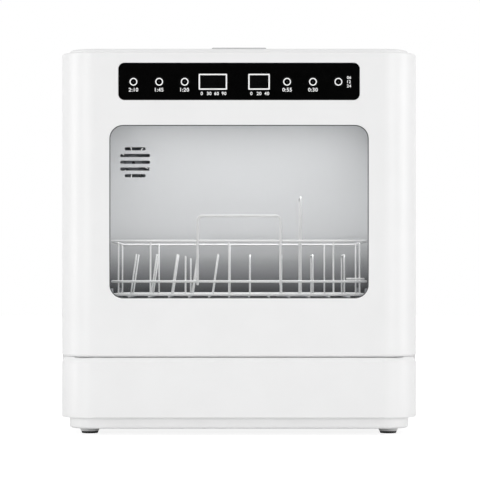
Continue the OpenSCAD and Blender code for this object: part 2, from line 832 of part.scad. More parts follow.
module water_tank() {
    z0 = 116;
    z1 = 404;
    tank_y = (tub_back_y + tub_t + 208) / 2;
    tank_d = 208 - tub_back_y - tub_t - 4;
    color(blue_grey) difference() {
        union() {
            slab_at(35, tank_y, 278, tank_d, 10, z0, z1);
            bar_z([port_x - 120, tank_y, z1 - 1], 7, 12);
            // Ribs round the tank.
            for (z = [160:60:340])
                slab_at(35, tank_y, 281, tank_d + 3, 11, z, z + 6);
        }
        slab_at(35, tank_y, 273, tank_d - 5, 7.5, z0 + 2.5, z1 - 2.5);
        slab_at(port_x, port_y - 2, 61, 25, 7.5, z1 - 10, z1 + 10);
    }
}

module main_board() {
    color("#2f6b46") difference() {
        block([32, 62, 34], [168, 148, 35.6]);
        for (x = [40, 160], y = [70, 140]) bar_z([x, y, 33], 4, 1.7);
    }
    color(grey) for (x = [40, 160], y = [70, 140]) difference() {
        bar_z([x, y, 30], 4, 4);
        bar_z([x, y, 29], 6, 1.5);
    }
    color(black) {
        // Relays, a transformer and connectors.
        for (i = [0:3]) block([50 + i * 22, 110, 35.6 - eps], [66 + i * 22, 138, 50]);
        block([50, 70, 35.6 - eps], [82, 100, 60]);
        for (i = [0:4]) block([96 + i * 13, 66, 35.6 - eps], [105 + i * 13, 74, 44]);
    }
    color(steel) for (x = [96, 112, 128]) bar_z([x, 92, 35.6 - eps], 20, 6);
}

module fan_housing() {
    color(black) difference() {
        union() {
            facing(fan_y0, fan_y0 + fan_t) translate([fan_x, fan_z]) rounded(62, 62, 5);
            // Duct to the tub's back wall.
            bar_y([fan_x + 3, tub_back_y + tub_t, fan_z], fan_y0 - tub_back_y - tub_t + eps, 27);
        }
        bar_y([fan_x, fan_y0 - 0.2, fan_z], fan_t + 1, fan_r);
        bar_y([fan_x + 3, tub_back_y, fan_z], 20, 25);
        for (x = [-1, 1], z = [-1, 1])
            bar_y([fan_x + x * 26, fan_y0 - 1, fan_z + z * 26], fan_t + 2, 2);
    }
    // Motor hub on its three struts, and the shaft.
    color(black) {
        bar_y([fan_x, fan_y0 + fan_t - 5, fan_z], 5, 11);
        for (a = [90:120:330]) facing(fan_y0 + fan_t - 3, fan_y0 + fan_t) translate([fan_x, fan_z])
            rotate(a) translate([9, -1.5]) square([fan_r - 8, 3]);
        bar_y([fan_x, fan_y0 + 3, fan_z], fan_t - 4, 2);
    }
}

// One blade in plan: narrow at the hub, wide and round at the tip.
module fan_blade() {
    polygon([[0, 3.5], [0, 11.5], [12, 15], [12, 0]]);
    intersection() {
        translate([0, 7.5]) circle(15.6);
        translate([11.9, 0]) square([4, 15]);
    }
}

module fan_wheel() {
    color(grey) translate([fan_x, fan_y0 + 4, fan_z]) rotate([-90, 0, 0]) difference() {
        union() {
            cylinder(r = 11, h = 14);
            for (i = [0:fan_blades - 1]) rotate(i * 360 / fan_blades) translate([10, 0, 7])
                rotate([blade_tilt, 0, 0]) translate([0, -7.5, -0.7]) linear_extrude(1.4)
                    fan_blade();
        }
        translate([0, 0, -1]) cylinder(r = 2.05, h = 20);
    }
}

// ---- Connectors at the back ----

// Spigot that stands out through the pocket's wall on a slimmer neck, with its flange behind.
module spigot(x, r, neck_r, neck_l, flange_r, bore_r) {
    difference() {
        union() {
            bar_y([x, shoulder_y, spigot_z], spigot_end_y - shoulder_y, r);
            bar_y([x, pocket_y - neck_l, spigot_z], neck_l + 6, neck_r);
            bar_y([x, pocket_y - 6, spigot_z], 5.9, flange_r);
        }
        bar_y([x, pocket_y - 40, spigot_z], 90, bore_r);
    }
}

module inlet_connector() {
    color(grey) spigot(inlet_x, 13.2, 12.6, 30, 18, 10);
}

module drain_connector() {
    color(grey) spigot(drain_x, 8.5, 7.9, 16, 14, 6);
}

module cord_gland() {
    color(black) difference() {
        union() {
            bar_y([150, body_d / 2 - wall - 10, 52], 12, 7);
            bar_y([150, body_d / 2 - wall - 6, 52], 5.9, 10);
        }
        bar_y([150, body_d / 2 - wall - 12, 52], 18, 3.6);
    }
}

module panel_screws() {
    // Round heads on the rear panel.
    color(steel) for (x = [-170, 0, 170], z = [120, 430])
        translate([x, body_d / 2 - wall + eps, z]) screw();
}

// Countersunk screw that lies along Y with its head at the back.
module screw() {
    rotate([90, 0, 0]) difference() {
        union() {
            translate([0, 0, -wall + 0.6]) cylinder(r = 3.2, h = 1.2);
            translate([0, 0, 1 - wall]) cylinder(r = 1.5, h = 8);
        }
        translate([0, 0, -wall]) {
            block([-2.2, -0.4, 0], [2.2, 0.4, 1.1]);
            block([-0.4, -2.2, 0], [0.4, 2.2, 1.1]);
        }
    }
}

// ---- Door ----

module window_outline(grow = 0) {
    translate([0, window_mid_z]) rounded(window_w + 2 * grow, window_h + 2 * grow, window_r + grow);
}

module fascia_outline(grow = 0) {
    translate([0, fascia_z]) rounded(fascia_w + 2 * grow, fascia_h + 2 * grow, 7 + grow);
}

module door_shell() {
    color(white) difference() {
        union() {
            difference() {
                union() {
                    body_form(door_z, shoulder_z, door_chamfer, 1.2);
                    deck_form();
                }
                // The door is a tray, open at the back.
                slab(body_w - 2 * door_wall, body_d - 2 * door_wall, corner_r - door_wall,
                     door_z + 2.5, cover_z);
                block([-body_w, door_back_y, 0], [body_w, body_d, deck_z + 10]);
            }
            // Walls of the finger pocket in the top.
            block([-34, front_y + 11, 439.5], [34, front_y + 41, cover_z + eps]);
            // Frame round the window that the pane's seal sits in.
            facing(front_y + door_wall - eps, front_y + 8.5) difference() {
                window_outline(12);
                window_outline(10);
            }
            // Bosses for the control board and the liner's screws.
            for (x = [-135, 135], z = [fascia_z - 15, fascia_z + 15])
                bar_y([x, front_y + door_wall - eps, z], 7.5, 3);
            for (x = [-190, 190], z = [150, 290, 430])
                bar_y([x, front_y + 9.5, z], 30.7, 4);
            // Stiffening ribs that follow the corners beside the window.
            intersection() {
                union() {
                    for (z = [125, 200, 240, 340, 380])
                        side_blocks([168, front_y + 2, z - 1], [208, front_y + 20, z + 1]);
                    for (z = [150, 290, 430])
                        side_blocks([192, front_y + 9.5, z - 1], [208, door_back_y - 4, z + 1]);
                }
                slab(body_w - door_wall, body_d - door_wall, corner_r - door_wall / 2, 100, 440);
            }
        }
        // Window and the seat of the gloss panel.
        facing(front_y - 1, front_y + 5) window_outline();
        facing(front_y - 1, front_y + 2) fascia_outline(0.3);
        for (x = button_x) bar_y([x, front_y, panel_row_z], 8, button_r + 1.2);
        for (d = display) facing(front_y, front_y + 6) translate([d[0], panel_row_z])
            square([d[1] - 2, display_h - 2], center = true);
        // Finger pocket.
        block([-32, front_y + 13, 441.5], [32, front_y + 39, deck_z + 1]);
        // Clearance of the hinge ears.
        side_blocks([ear_x - 3.4, front_y + door_wall, door_z - 1], [ear_x + 3.4, 0, door_z + 4]);
        for (x = [-190, 190], z = [150, 290, 430])
            bar_y([x, front_y + 20, z], 30, 1.5);
    }
}

module door_liner() {
    y0 = recess_y - liner_t;
    color(tub_grey) difference() {
        union() {
            facing(door_back_y - liner_t, door_back_y) translate([0, (112 + 446) / 2])
                rounded(inner_w - 1.6, 446 - 112, 6);
            // Pan that makes room for the rack.
            facing(y0, door_back_y - 1) recess_outline(liner_t);
            // Collar that reaches forward to the window's seal.
            facing(front_y + 9.1, y0 + 1) window_outline(7);
        }
        facing(recess_y, door_back_y + 1) recess_outline();
        // Opening with sides that spread towards the room.
        facing(front_y, y0 + 10) window_outline(4.5);
        // Latch tongue's foot and the liner's screws.
        for (x = [-190, 190], z = [150, 290, 430]) {
            bar_y([x, door_back_y - 5, z], 8, 1.8);
            bar_y([x, door_back_y - 1.25, z], 2, 3.4);
        }
    }
    // Ribs pressed into the pan above the window.
    color(tub_grey) for (x = [-120:40:120])
        block([x - 2, recess_y - eps, 376], [x + 2, recess_y + 1.4, 416]);
}

module recess_outline(grow = 0) {
    h = recess_z1 - recess_z0;
    translate([0, (recess_z0 + recess_z1) / 2])
        rounded(recess_w + 2 * grow, h + 2 * grow, 18 + grow);
}

module window_pane() {
    color([0.8, 0.85, 0.88, 0.35])
        facing(front_y + door_wall, front_y + door_wall + pane_t) window_outline(6);
}

module window_seal() {
    y = front_y + door_wall;
    color(black) difference() {
        facing(y, y + 6) window_outline(9.8);
        facing(y - 1, y + pane_t) window_outline(6);
        facing(y - 1, y + 7) window_outline(2.5);
    }
}

module control_fascia() {
    color(black) difference() {
        facing(front_y + 0.05, front_y + 2) fascia_outline();
        for (x = button_x) bar_y([x, front_y - 1, panel_row_z], 4, button_r + 0.3);
        for (d = display) facing(front_y - 1, front_y + 4) translate([d[0], panel_row_z])
            square([d[1] + 0.2, display_h + 0.2], center = true);
    }
}

module display_lenses() {
    color("#202226") for (d = display) {
        facing(front_y + 0.1, front_y + 2) translate([d[0], panel_row_z])
            square([d[1], display_h], center = true);
        facing(front_y + 2, front_y + 4.4) translate([d[0], panel_row_z])
            square([d[1] - 2.4, display_h - 2.4], center = true);
    }
}

// Round push button with its stem; the cap lies flush in the gloss panel.
module push_button(i) {
    x = button_x[i];
    color(black) {
        bar_y([x, front_y + 0.1, panel_row_z], 1.9, button_r);
        bar_y([x, front_y + 2, panel_row_z], 1, button_r + 0.9);
        bar_y([x, front_y + 3, panel_row_z], key_l - 3, 2.2);
    }
}

module control_board() {
    y = front_y + 10.5;
    color("#2f6b46") difference() {
        facing(y, y + 1.6) translate([0, fascia_z]) rounded(276, 38, 3);
        for (x = [-135, 135], z = [fascia_z - 15, fascia_z + 15]) bar_y([x, y - 1, z], 4, 1.2);
    }
    // Switches, display modules and the ribbon socket. A pressed key just meets its plunger.
    plunger_y = front_y + key_l + button_travel + 0.3;
    color(black) {
        for (x = button_x) {
            facing(y - 3.6, y) translate([x, panel_row_z]) square([6, 6], center = true);
            bar_y([x, plunger_y, panel_row_z], y - 3.5 - plunger_y, 1.7);
        }
        for (d = display) facing(y - 5.6, y) translate([d[0], panel_row_z])
            square([d[1] - 3, display_h - 3], center = true);
        facing(y + 1.6, y + 7) translate([0, fascia_z]) square([30, 6], center = true);
    }
}

// Cup-shaped finger pull with a lip that stands above the deck.
module door_pull() {
    color(grey) difference() {
        union() {
            block([-31.8, front_y + 13.2, 441.5], [31.8, front_y + 38.8, deck_z]);
            hull() for (x = [-30.4, 30.4]) translate([x, front_y + 12.4, deck_z])
                rotate([-90, 0, 0]) scale([1, 0.9, 1]) cylinder(r = 1.6, h = 3.4, $fn = 24);
        }
        block([-30, front_y + 15, 443.3], [30, front_y + 37, deck_z + 3]);
        // The lip rests on the deck in front of the pocket.
        block([-40, front_y + 10, 440], [40, front_y + 13.2, deck_z]);
    }
}

module latch_tongue() {
    color(steel) difference() {
        sideways(-8, 8) polygon([
            [door_back_y, 436.6], [door_back_y + 15, 436.6], [door_back_y + 15, 437.6],
            [door_back_y + 12.6, 440.8], [door_back_y + 10.4, 440.8], [door_back_y + 9, 439],
            [door_back_y + 2, 439], [door_back_y + 2, 444], [door_back_y, 444]
        ]);
        block([-4, door_back_y + 5, 435], [4, door_back_y + 9, 443]);
    }
}

module hinge_arms() {
    color(steel) for (s = [0, 1]) mirror([s, 0, 0]) difference() {
        union() {
            for (x = [ear_x - ear_t / 2 - lug_t - 0.6, ear_x + ear_t / 2 + 0.6])
                sideways(x, x + lug_t) {
                    translate([hinge_y, hinge_z]) circle(lug_r, $fn = 32);
                    translate([front_y + door_wall, hinge_z]) square([hinge_in - door_wall + lug_r, 22]);
                }
            block([ear_x - 14, front_y + door_wall, hinge_z + 8],
                  [ear_x + 14, front_y + door_wall + 2.4, hinge_z + 30]);
        }
        bar_x([ear_x - 20, hinge_y, hinge_z], 40, hinge_pin_r + 0.05);
    }
}

module liner_screws() {
    color(steel) for (x = [-190, 190], z = [150, 290, 430])
        translate([x, door_back_y - wall + 0.6, z]) screw();
}

// ---- Rack ----

// Round-cornered loop of wire at height z.
module wire_loop(z) {
    sx = loop_w / 2 - loop_r;
    sy = loop_d / 2 - loop_r;
    translate([0, rack_mid_y, z]) {
        for (s = [-1, 1]) {
            bar_x([-sx, s * loop_d / 2, 0], 2 * sx, wire_r);
            bar_y([s * loop_w / 2, -sy, 0], 2 * sy, wire_r);
        }
        translate([sx, sy, 0]) bend(loop_r, wire_r);
        translate([-sx, sy, 0]) rotate(90) bend(loop_r, wire_r);
        translate([-sx, -sy, 0]) rotate(180) bend(loop_r, wire_r);
        translate([sx, -sy, 0]) rotate(270) bend(loop_r, wire_r);
    }
}

module rack_frame() {
    inset = wire_r + thin_r - 0.4;
    top = rail_z - wire_r + 0.6;
    side_x = loop_w / 2 - inset;
    run_x = side_x - 0.7;
    color(coat) {
        wire_loop(rail_z);
        wire_loop(low_rail_z);
        wire_loop(floor_wire_z);
        for (x = [-106, -64, -12, 113], s = [-1, 1])
            bar_z([x, rack_mid_y + s * (loop_d / 2 - inset), floor_wire_z],
                  (x == -64 ? low_rail_z + 30 : top) - floor_wire_z, thin_r);
        for (y = side_post_y, s = [-1, 1])
            bar_z([s * side_x, rack_mid_y + y, floor_wire_z], top - floor_wire_z, thin_r);
        // Wire along the right side, whose front end turns inwards.
        bar_y([run_x, end_wire_y + end_bend_r, end_wire_z],
              rack_mid_y + side_post_y[1] + 3 - end_wire_y - end_bend_r, thin_r);
        translate([run_x - end_bend_r, end_wire_y + end_bend_r, end_wire_z])
            rotate(270) bend(end_bend_r, thin_r);
        bar_x([end_wire_x, end_wire_y, end_wire_z], run_x - end_bend_r - end_wire_x, thin_r);
        translate([end_wire_x, end_wire_y, end_wire_z]) sphere(thin_r, $fn = 24);
    }
}

module rack_floor() {
    y0 = rack_mid_y - loop_d / 2;
    color(coat) {
        for (x = [-132:24:132])
            bar_y([x, y0, grid_z], loop_d, thin_r);
        for (i = [1:7])
            bar_x([-loop_w / 2, y0 + i * loop_d / 8, grid_z + 1.4], loop_w, thin_r);
    }
}

// Hairpin of thin wire that stands across X, with its feet on the floor wires.
module hairpin(x, y, w, z0, z1, r = thin_r) {
    b = 5;
    translate([x, y, 0]) {
        for (s = [-1, 1]) bar_z([s * w / 2, 0, z0], z1 - b - z0, r);
        bar_x([-w / 2 + b, 0, z1], w - 2 * b, r);
        for (s = [0, 1]) mirror([s, 0, 0]) translate([w / 2 - b, 0, z1 - b])
            rotate([90, 0, 0]) bend(b, r);
    }
}

module plate_tines() {
    z0 = foot_wire_z;
    // Two rows of prongs that lean back a little from upright.
    color(coat) for (y = [10, 72]) {
        bar_x([-142, y, z0], 114, thin_r);
        for (i = [0:4]) translate([-138 + i * 26, y, z0]) rotate([0, 8, 0]) {
            cylinder(r = thin_r, h = 52);
            translate([0, 0, 52]) sphere(thin_r, $fn = 24);
        }
    }
}

module cup_tines() {
    z0 = foot_wire_z;
    color(coat) {
        // Tall hoop between the tumblers.
        translate([75, -88, 0]) rotate(90) hairpin(0, 0, 60, z0, 283, thin_r + 0.2);
        // Low hoops for cups along the back.
        for (x = [14, 54, 94, 134]) translate([x, 40, 0]) rotate(90) hairpin(0, 0, 70, z0, 214);
        bar_x([8, 5, z0], 134, thin_r);
        bar_x([8, 75, z0], 134, thin_r);
        bar_x([46, -118, z0], 60, thin_r);
        bar_x([46, -58, z0], 60, thin_r);
    }
}

module rack_handle() {
    y = rack_mid_y - loop_d / 2 - 2 * wire_r + 0.3;
    color(coat) hairpin(0, y, handle_w, low_rail_z - 3.5, handle_z, wire_r);
}

// Plastic shoes that run in the tub's channels.
module rack_glides() {
    color(grey) for (s = [0, 1]) mirror([s, 0, 0]) for (y = [-138, 66]) {
        sideways(loop_w / 2 + wire_r, loop_w / 2 + wire_r + 3) translate([y + 22, 162.2])
            rounded(44, 20, 3);
        sideways(loop_w / 2 + wire_r, channel_x + 8.2) translate([y + 22, 156.1])
            rounded(44, 7.4, 2);
    }
}

base_pan();
feet();
foot_pads();
lower_panel();
left_side_panel();
right_side_panel();
rear_panel();
top_cover();
fill_neck();
front_frame();
tub();
tub_gasket();
rack_rails();
sump();
filter_basket();
filter_plate();
wash_pump();
drain_pump();
riser_pipe();
drain_hose();
water_tank();
heater();
main_board();
fan_housing();
hinge_brackets();
hinge_pins();
latch_housing();
inlet_connector();
drain_connector();
cord_gland();
spray_hub();
spray_arm_cap();
panel_screws();
door_shell();
door_liner();
window_pane();
window_seal();
control_fascia();
display_lenses();
control_board();
door_pull();
latch_tongue();
hinge_arms();
liner_screws();
push_button(0);  // button_1
push_button(1);  // button_2
push_button(2);  // button_3
push_button(3);  // button_4
push_button(4);  // button_5
push_button(5);  // button_6
rack_floor();
rack_frame();
plate_tines();
cup_tines();
rack_handle();
rack_glides();
spray_arm();
fan_wheel();
fill_lid();
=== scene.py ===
import math

import bmesh
import bpy
from mathutils import Matrix, Vector


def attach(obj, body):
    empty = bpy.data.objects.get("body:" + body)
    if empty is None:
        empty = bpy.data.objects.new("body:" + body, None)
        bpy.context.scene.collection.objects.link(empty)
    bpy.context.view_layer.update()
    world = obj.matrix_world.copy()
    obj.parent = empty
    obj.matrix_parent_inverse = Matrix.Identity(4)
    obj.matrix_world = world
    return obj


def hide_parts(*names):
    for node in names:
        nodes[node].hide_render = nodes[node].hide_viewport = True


# Countertop dishwasher: finishes, wire rack, panel prints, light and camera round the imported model.
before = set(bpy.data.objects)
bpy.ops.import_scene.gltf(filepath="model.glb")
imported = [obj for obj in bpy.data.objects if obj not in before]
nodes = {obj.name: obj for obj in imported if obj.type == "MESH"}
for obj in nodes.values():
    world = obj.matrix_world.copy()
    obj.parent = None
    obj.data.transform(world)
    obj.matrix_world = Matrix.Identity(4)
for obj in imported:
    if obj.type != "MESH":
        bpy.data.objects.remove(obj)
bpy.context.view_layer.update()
scene = bpy.context.scene
mm = 0.001
print("frame loaded:", len(nodes), "nodes")


# Materials: each is named for the real finish and starts from its usual values.

def toLinear(hexColour):  # sRGB hex to linear RGBA
    parts = [int(hexColour[i:i + 2], 16) / 255 for i in (0, 2, 4)]
    return [c / 12.92 if c <= 0.04045 else ((c + 0.055) / 1.055) ** 2.4 for c in parts] + [1]


def perMm(size):  # pattern scale that repeats about once every size millimetres
    return 1000 / size


def addNode(tree, kind, settings=None, links=None):
    node = tree.nodes.new(kind)
    for name, value in (settings or {}).items():
        if isinstance(name, str) and hasattr(node, name):
            setattr(node, name, value)
        else:
            node.inputs[name].default_value = value
    for name, source in (links or {}).items():
        tree.links.new(source, node.inputs[name])
    return node


def startMaterial(name):
    material = bpy.data.materials.new(name)
    material.use_nodes = True
    tree = material.node_tree
    tree.nodes.clear()
    place = addNode(tree, "ShaderNodeTexCoord").outputs["Object"]
    return material, tree, place


def ramp(tree, factor, stops):  # stops are (position, hex)
    node = addNode(tree, "ShaderNodeValToRGB", links={"Fac": factor})
    while len(node.color_ramp.elements) < len(stops):
        node.color_ramp.elements.new(0.5)
    for element, (position, colour) in zip(node.color_ramp.elements, stops):
        element.position = position
        element.color = toLinear(colour)
    return node.outputs["Color"]


def closeMaterial(tree, shader, colour=None, roughness=None, normal=None):
    links = {"Base Color": colour, "Roughness": roughness, "Normal": normal}
    surface = addNode(tree, "ShaderNodeBsdfPrincipled", shader,
                      {name: source for name, source in links.items() if source is not None})
    addNode(tree, "ShaderNodeOutputMaterial", links={"Surface": surface.outputs["BSDF"]})
    return surface


def moulded(name, pale, deep, roughness, grain, depth, mottle=45, shader=None):
    # Injection moulding: a spark-eroded mould leaves fine even pits, and the melt leaves a faint cloudiness.
    # Real pits are about 0.2 mm across; each grain is drawn coarser, so that it shows.
    material, tree, place = startMaterial(name)
    cloud = addNode(tree, "ShaderNodeTexNoise", {"Scale": perMm(mottle), "Detail": 2.0}, {"Vector": place})
    colour = ramp(tree, cloud.outputs["Fac"], [(0.3, deep), (0.7, pale)])
    pits = addNode(tree, "ShaderNodeTexNoise", {"Scale": perMm(grain), "Detail": 3.0, "Roughness": 0.6},
                   {"Vector": place})
    gloss = addNode(tree, "ShaderNodeMapRange", {"To Min": roughness - 0.035, "To Max": roughness + 0.035},
                    {"Value": pits.outputs["Fac"]})
    bump = addNode(tree, "ShaderNodeBump", {"Strength": depth, "Distance": 0.02 * mm},
                   {"Height": pits.outputs["Fac"]})
    closeMaterial(tree, shader or {}, colour, gloss.outputs["Result"], bump.outputs["Normal"])
    return material


plastics = {  # pale, deep: sRGB; roughness; grain and mottle in mm
    "whiteAbs": dict(pale="f4f4f4", deep="f2f2f2", roughness=0.36, grain=0.7, depth=0.25,
                     shader={"IOR": 1.54}),  # satin white case
    "whitePlinthPaintedLight": dict(pale="f5f5f5", deep="f3f3f3", roughness=0.45, grain=0.9, depth=0.3,
                        shader={"IOR": 1.54}),  # a shade duller, and a touch paler than the case white as painted light on the base and feet in the machine's shade
    "linerPolypropylene": dict(pale="d9dadb", deep="d3d4d5", roughness=0.34, grain=0.9, depth=0.3,
                               shader={"IOR": 1.49}),  # waxy light grey inside of the door
    "greyPolypropylene": dict(pale="94979a", deep="85888b", roughness=0.42, grain=1.1, depth=0.5,
                              shader={"IOR": 1.49}),  # mid grey wash parts
    "pullAbs": dict(pale="c3c4c5", deep="bcbdbe", roughness=0.4, grain=0.8, depth=0.3,
                    shader={"IOR": 1.54}),  # the finger pull, a tone darker than the case
    "blackPolyamide": dict(pale="1f2022", deep="161718", roughness=0.52, grain=0.9, depth=0.6,
                           shader={"IOR": 1.53}),  # glass-filled black for pumps and ducts
}
finish = {name: moulded(name, **values) for name, values in plastics.items()}


def tubDarkFloorAndPaintedShade():
    # Tub: light grey polypropylene walls over a dark floor, waxy from hot wash water; the lower walls darken
    # towards the floor as painted shade.
    material, tree, place = startMaterial("tubDarkFloorAndPaintedShade")
    split = addNode(tree, "ShaderNodeSeparateXYZ", links={"Vector": place})
    cloud = addNode(tree, "ShaderNodeTexNoise", {"Scale": perMm(60), "Detail": 2.0}, {"Vector": place})
    wander = addNode(tree, "ShaderNodeMath", {"operation": "MULTIPLY_ADD", 1: 4 * mm},
                     {0: cloud.outputs["Fac"], 2: split.outputs["Z"]})
    height = addNode(tree, "ShaderNodeMapRange", {"From Min": 0.140, "From Max": 0.260},
                     {"Value": wander.outputs["Value"]})
    # painted shade: the wall colour darkens with height down to the floor's own dark grey
    colour = ramp(tree, height.outputs["Result"],
                  [(0.0, "2b2c2e"), (0.2, "424345"), (0.42, "8f9092"), (0.66, "bfc0c1"), (0.92, "d9dadb")])
    grain = addNode(tree, "ShaderNodeTexNoise", {"Scale": perMm(1.0), "Detail": 2.0}, {"Vector": place})
    gloss = addNode(tree, "ShaderNodeMapRange", {"To Min": 0.36, "To Max": 0.44},
                    {"Value": grain.outputs["Fac"]})
    bump = addNode(tree, "ShaderNodeBump", {"Strength": 0.25, "Distance": 0.02 * mm},
                   {"Height": grain.outputs["Fac"]})
    closeMaterial(tree, {"IOR": 1.49}, colour, gloss.outputs["Result"], bump.outputs["Normal"])
    return material


def coatedWire():
    # Steel wire dipped in white nylon: thick soft skin, bright and even, with a low satin shine.
    material, tree, place = startMaterial("coatedWire")
    skin = addNode(tree, "ShaderNodeTexNoise", {"Scale": perMm(3), "Detail": 2.0}, {"Vector": place})
    colour = ramp(tree, skin.outputs["Fac"], [(0.3, "f3f3f3"), (0.7, "f7f7f7")])
    gloss = addNode(tree, "ShaderNodeMapRange", {"To Min": 0.3, "To Max": 0.38},
                    {"Value": skin.outputs["Fac"]})
    bump = addNode(tree, "ShaderNodeBump", {"Strength": 0.2, "Distance": 0.05 * mm},
                   {"Height": skin.outputs["Fac"]})
    closeMaterial(tree, {"IOR": 1.52}, colour, gloss.outputs["Result"], bump.outputs["Normal"])
    return material


def brushedStainless():
    # Rolled and brushed sheet, pressed into hinges, latch and filter plate: short streaks along X.
    material, tree, place = startMaterial("brushedStainless")
    stretch = addNode(tree, "ShaderNodeMapping", {"Scale": (0.06, 1.0, 1.0)}, {"Vector": place})
    streaks = addNode(tree, "ShaderNodeTexNoise", {"Scale": perMm(0.5), "Detail": 3.0},
                      {"Vector": stretch.outputs["Vector"]})
    colour = ramp(tree, streaks.outputs["Fac"], [(0.35, "b4b6b8"), (0.65, "cfd1d2")])
    gloss = addNode(tree, "ShaderNodeMapRange", {"To Min": 0.24, "To Max": 0.4},
                    {"Value": streaks.outputs["Fac"]})
    bump = addNode(tree, "ShaderNodeBump", {"Strength": 0.15, "Distance": 0.01 * mm},
                   {"Height": streaks.outputs["Fac"]})
    closeMaterial(tree, {"Metallic": 1.0}, colour, gloss.outputs["Result"], bump.outputs["Normal"])
    return material


def glossAcrylic():
    # Back-printed acrylic overlay: deep black under a hard flat gloss with almost no orange peel.
    material, tree, place = startMaterial("glossAcrylic")
    peel = addNode(tree, "ShaderNodeTexNoise", {"Scale": perMm(8), "Detail": 1.0}, {"Vector": place})
    colour = ramp(tree, peel.outputs["Fac"], [(0.3, "010101"), (0.7, "030303")])
    gloss = addNode(tree, "ShaderNodeMapRange", {"To Min": 0.05, "To Max": 0.09},
                    {"Value": peel.outputs["Fac"]})
    closeMaterial(tree, {"IOR": 1.49, "Specular IOR Level": 0.3}, colour, gloss.outputs["Result"])
    return material


def smokedLens():
    # Smoked polycarbonate over the unlit digits: black with a slightly softer shine than the overlay.
    material, tree, place = startMaterial("smokedLens")
    haze = addNode(tree, "ShaderNodeTexNoise", {"Scale": perMm(6), "Detail": 2.0}, {"Vector": place})
    colour = ramp(tree, haze.outputs["Fac"], [(0.3, "020203"), (0.7, "040405")])
    gloss = addNode(tree, "ShaderNodeMapRange", {"To Min": 0.1, "To Max": 0.16},
                    {"Value": haze.outputs["Fac"]})
    closeMaterial(tree, {"IOR": 1.58, "Specular IOR Level": 0.3}, colour, gloss.outputs["Result"])
    return material


def toughenedGlass():
    # Clear toughened pane with a slight grey tint, a wet-looking shine and no waviness to speak of.
    material, tree, place = startMaterial("toughenedGlass")
    wave = addNode(tree, "ShaderNodeTexNoise", {"Scale": perMm(90), "Detail": 1.0}, {"Vector": place})
    gloss = addNode(tree, "ShaderNodeMapRange", {"To Min": 0.01, "To Max": 0.03},
                    {"Value": wave.outputs["Fac"]})
    colour = ramp(tree, wave.outputs["Fac"], [(0.3, "23292b"), (0.7, "282e30")])
    closeMaterial(tree, {"IOR": 1.52, "Alpha": 0.06}, colour, gloss.outputs["Result"])
    return material


def mouldedRubber(name, pale, deep, roughness, grain, depth):
    # Cured rubber: soft, dull, with a dusty bloom in the pale patches.
    material, tree, place = startMaterial(name)
    bloom = addNode(tree, "ShaderNodeTexNoise", {"Scale": perMm(7), "Detail": 4.0}, {"Vector": place})
    colour = ramp(tree, bloom.outputs["Fac"], [(0.35, deep), (0.75, pale)])
    skin = addNode(tree, "ShaderNodeTexNoise", {"Scale": perMm(grain), "Detail": 4.0}, {"Vector": place})
    bump = addNode(tree, "ShaderNodeBump", {"Strength": depth, "Distance": 0.03 * mm},
                   {"Height": skin.outputs["Fac"]})
    closeMaterial(tree, {"Roughness": roughness, "IOR": 1.52, "Sheen Weight": 0.12,
                         "Sheen Roughness": 0.5}, colour, normal=bump.outputs["Normal"])
    return material


def circuitBoard():
    # Glass-epoxy board under green solder mask: copper runs show as paler lines on a 2.5 mm grid.
    material, tree, place = startMaterial("circuitBoard")
    tracks = addNode(tree, "ShaderNodeTexBrick",
                     {"Scale": 1.0, "Mortar Size": 0.25 * mm, "Brick Width": 12 * mm, "Row Height": 2.5 * mm,
                      "Color1": toLinear("1d5a38"), "Color2": toLinear("1a5333"),
                      "Mortar": toLinear("3f8a5c")})
    turned = addNode(tree, "ShaderNodeMapping", {"Rotation": (math.radians(90), 0, 0)}, {"Vector": place})
    tree.links.new(turned.outputs["Vector"], tracks.inputs["Vector"])
    bump = addNode(tree, "ShaderNodeBump", {"Strength": 0.4, "Distance": 0.04 * mm},
                   {"Height": tracks.outputs["Fac"]})
    closeMaterial(tree, {"Roughness": 0.28, "IOR": 1.5, "Coat Weight": 0.4, "Coat Roughness": 0.15},
                  tracks.outputs["Color"], normal=bump.outputs["Normal"])
    return material


def milkyPolyethylene():
    # Blow-moulded tank: milky grey-blue, thin enough that light goes in and scatters.
    material, tree, place = startMaterial("milkyPolyethylene")
    wall = addNode(tree, "ShaderNodeTexNoise", {"Scale": perMm(30), "Detail": 3.0}, {"Vector": place})
    colour = ramp(tree, wall.outputs["Fac"], [(0.3, "9aabb5"), (0.7, "b0bfc7")])
    bump = addNode(tree, "ShaderNodeBump", {"Strength": 0.3, "Distance": 0.2 * mm},
                   {"Height": wall.outputs["Fac"]})
    closeMaterial(tree, {"Roughness": 0.4, "IOR": 1.5, "Subsurface Weight": 0.25,
                         "Subsurface Scale": 4 * mm}, colour, normal=bump.outputs["Normal"])
    return material


def screenInk(name, pale, deep):
    # Screen-printed ink: flat, dense, a little duller than what it is printed on.
    material, tree, place = startMaterial(name)
    dots = addNode(tree, "ShaderNodeTexNoise", {"Scale": perMm(0.6), "Detail": 2.0}, {"Vector": place})
    colour = ramp(tree, dots.outputs["Fac"], [(0.3, deep), (0.7, pale)])
    closeMaterial(tree, {"Roughness": 0.5, "IOR": 1.45}, colour)
    return material


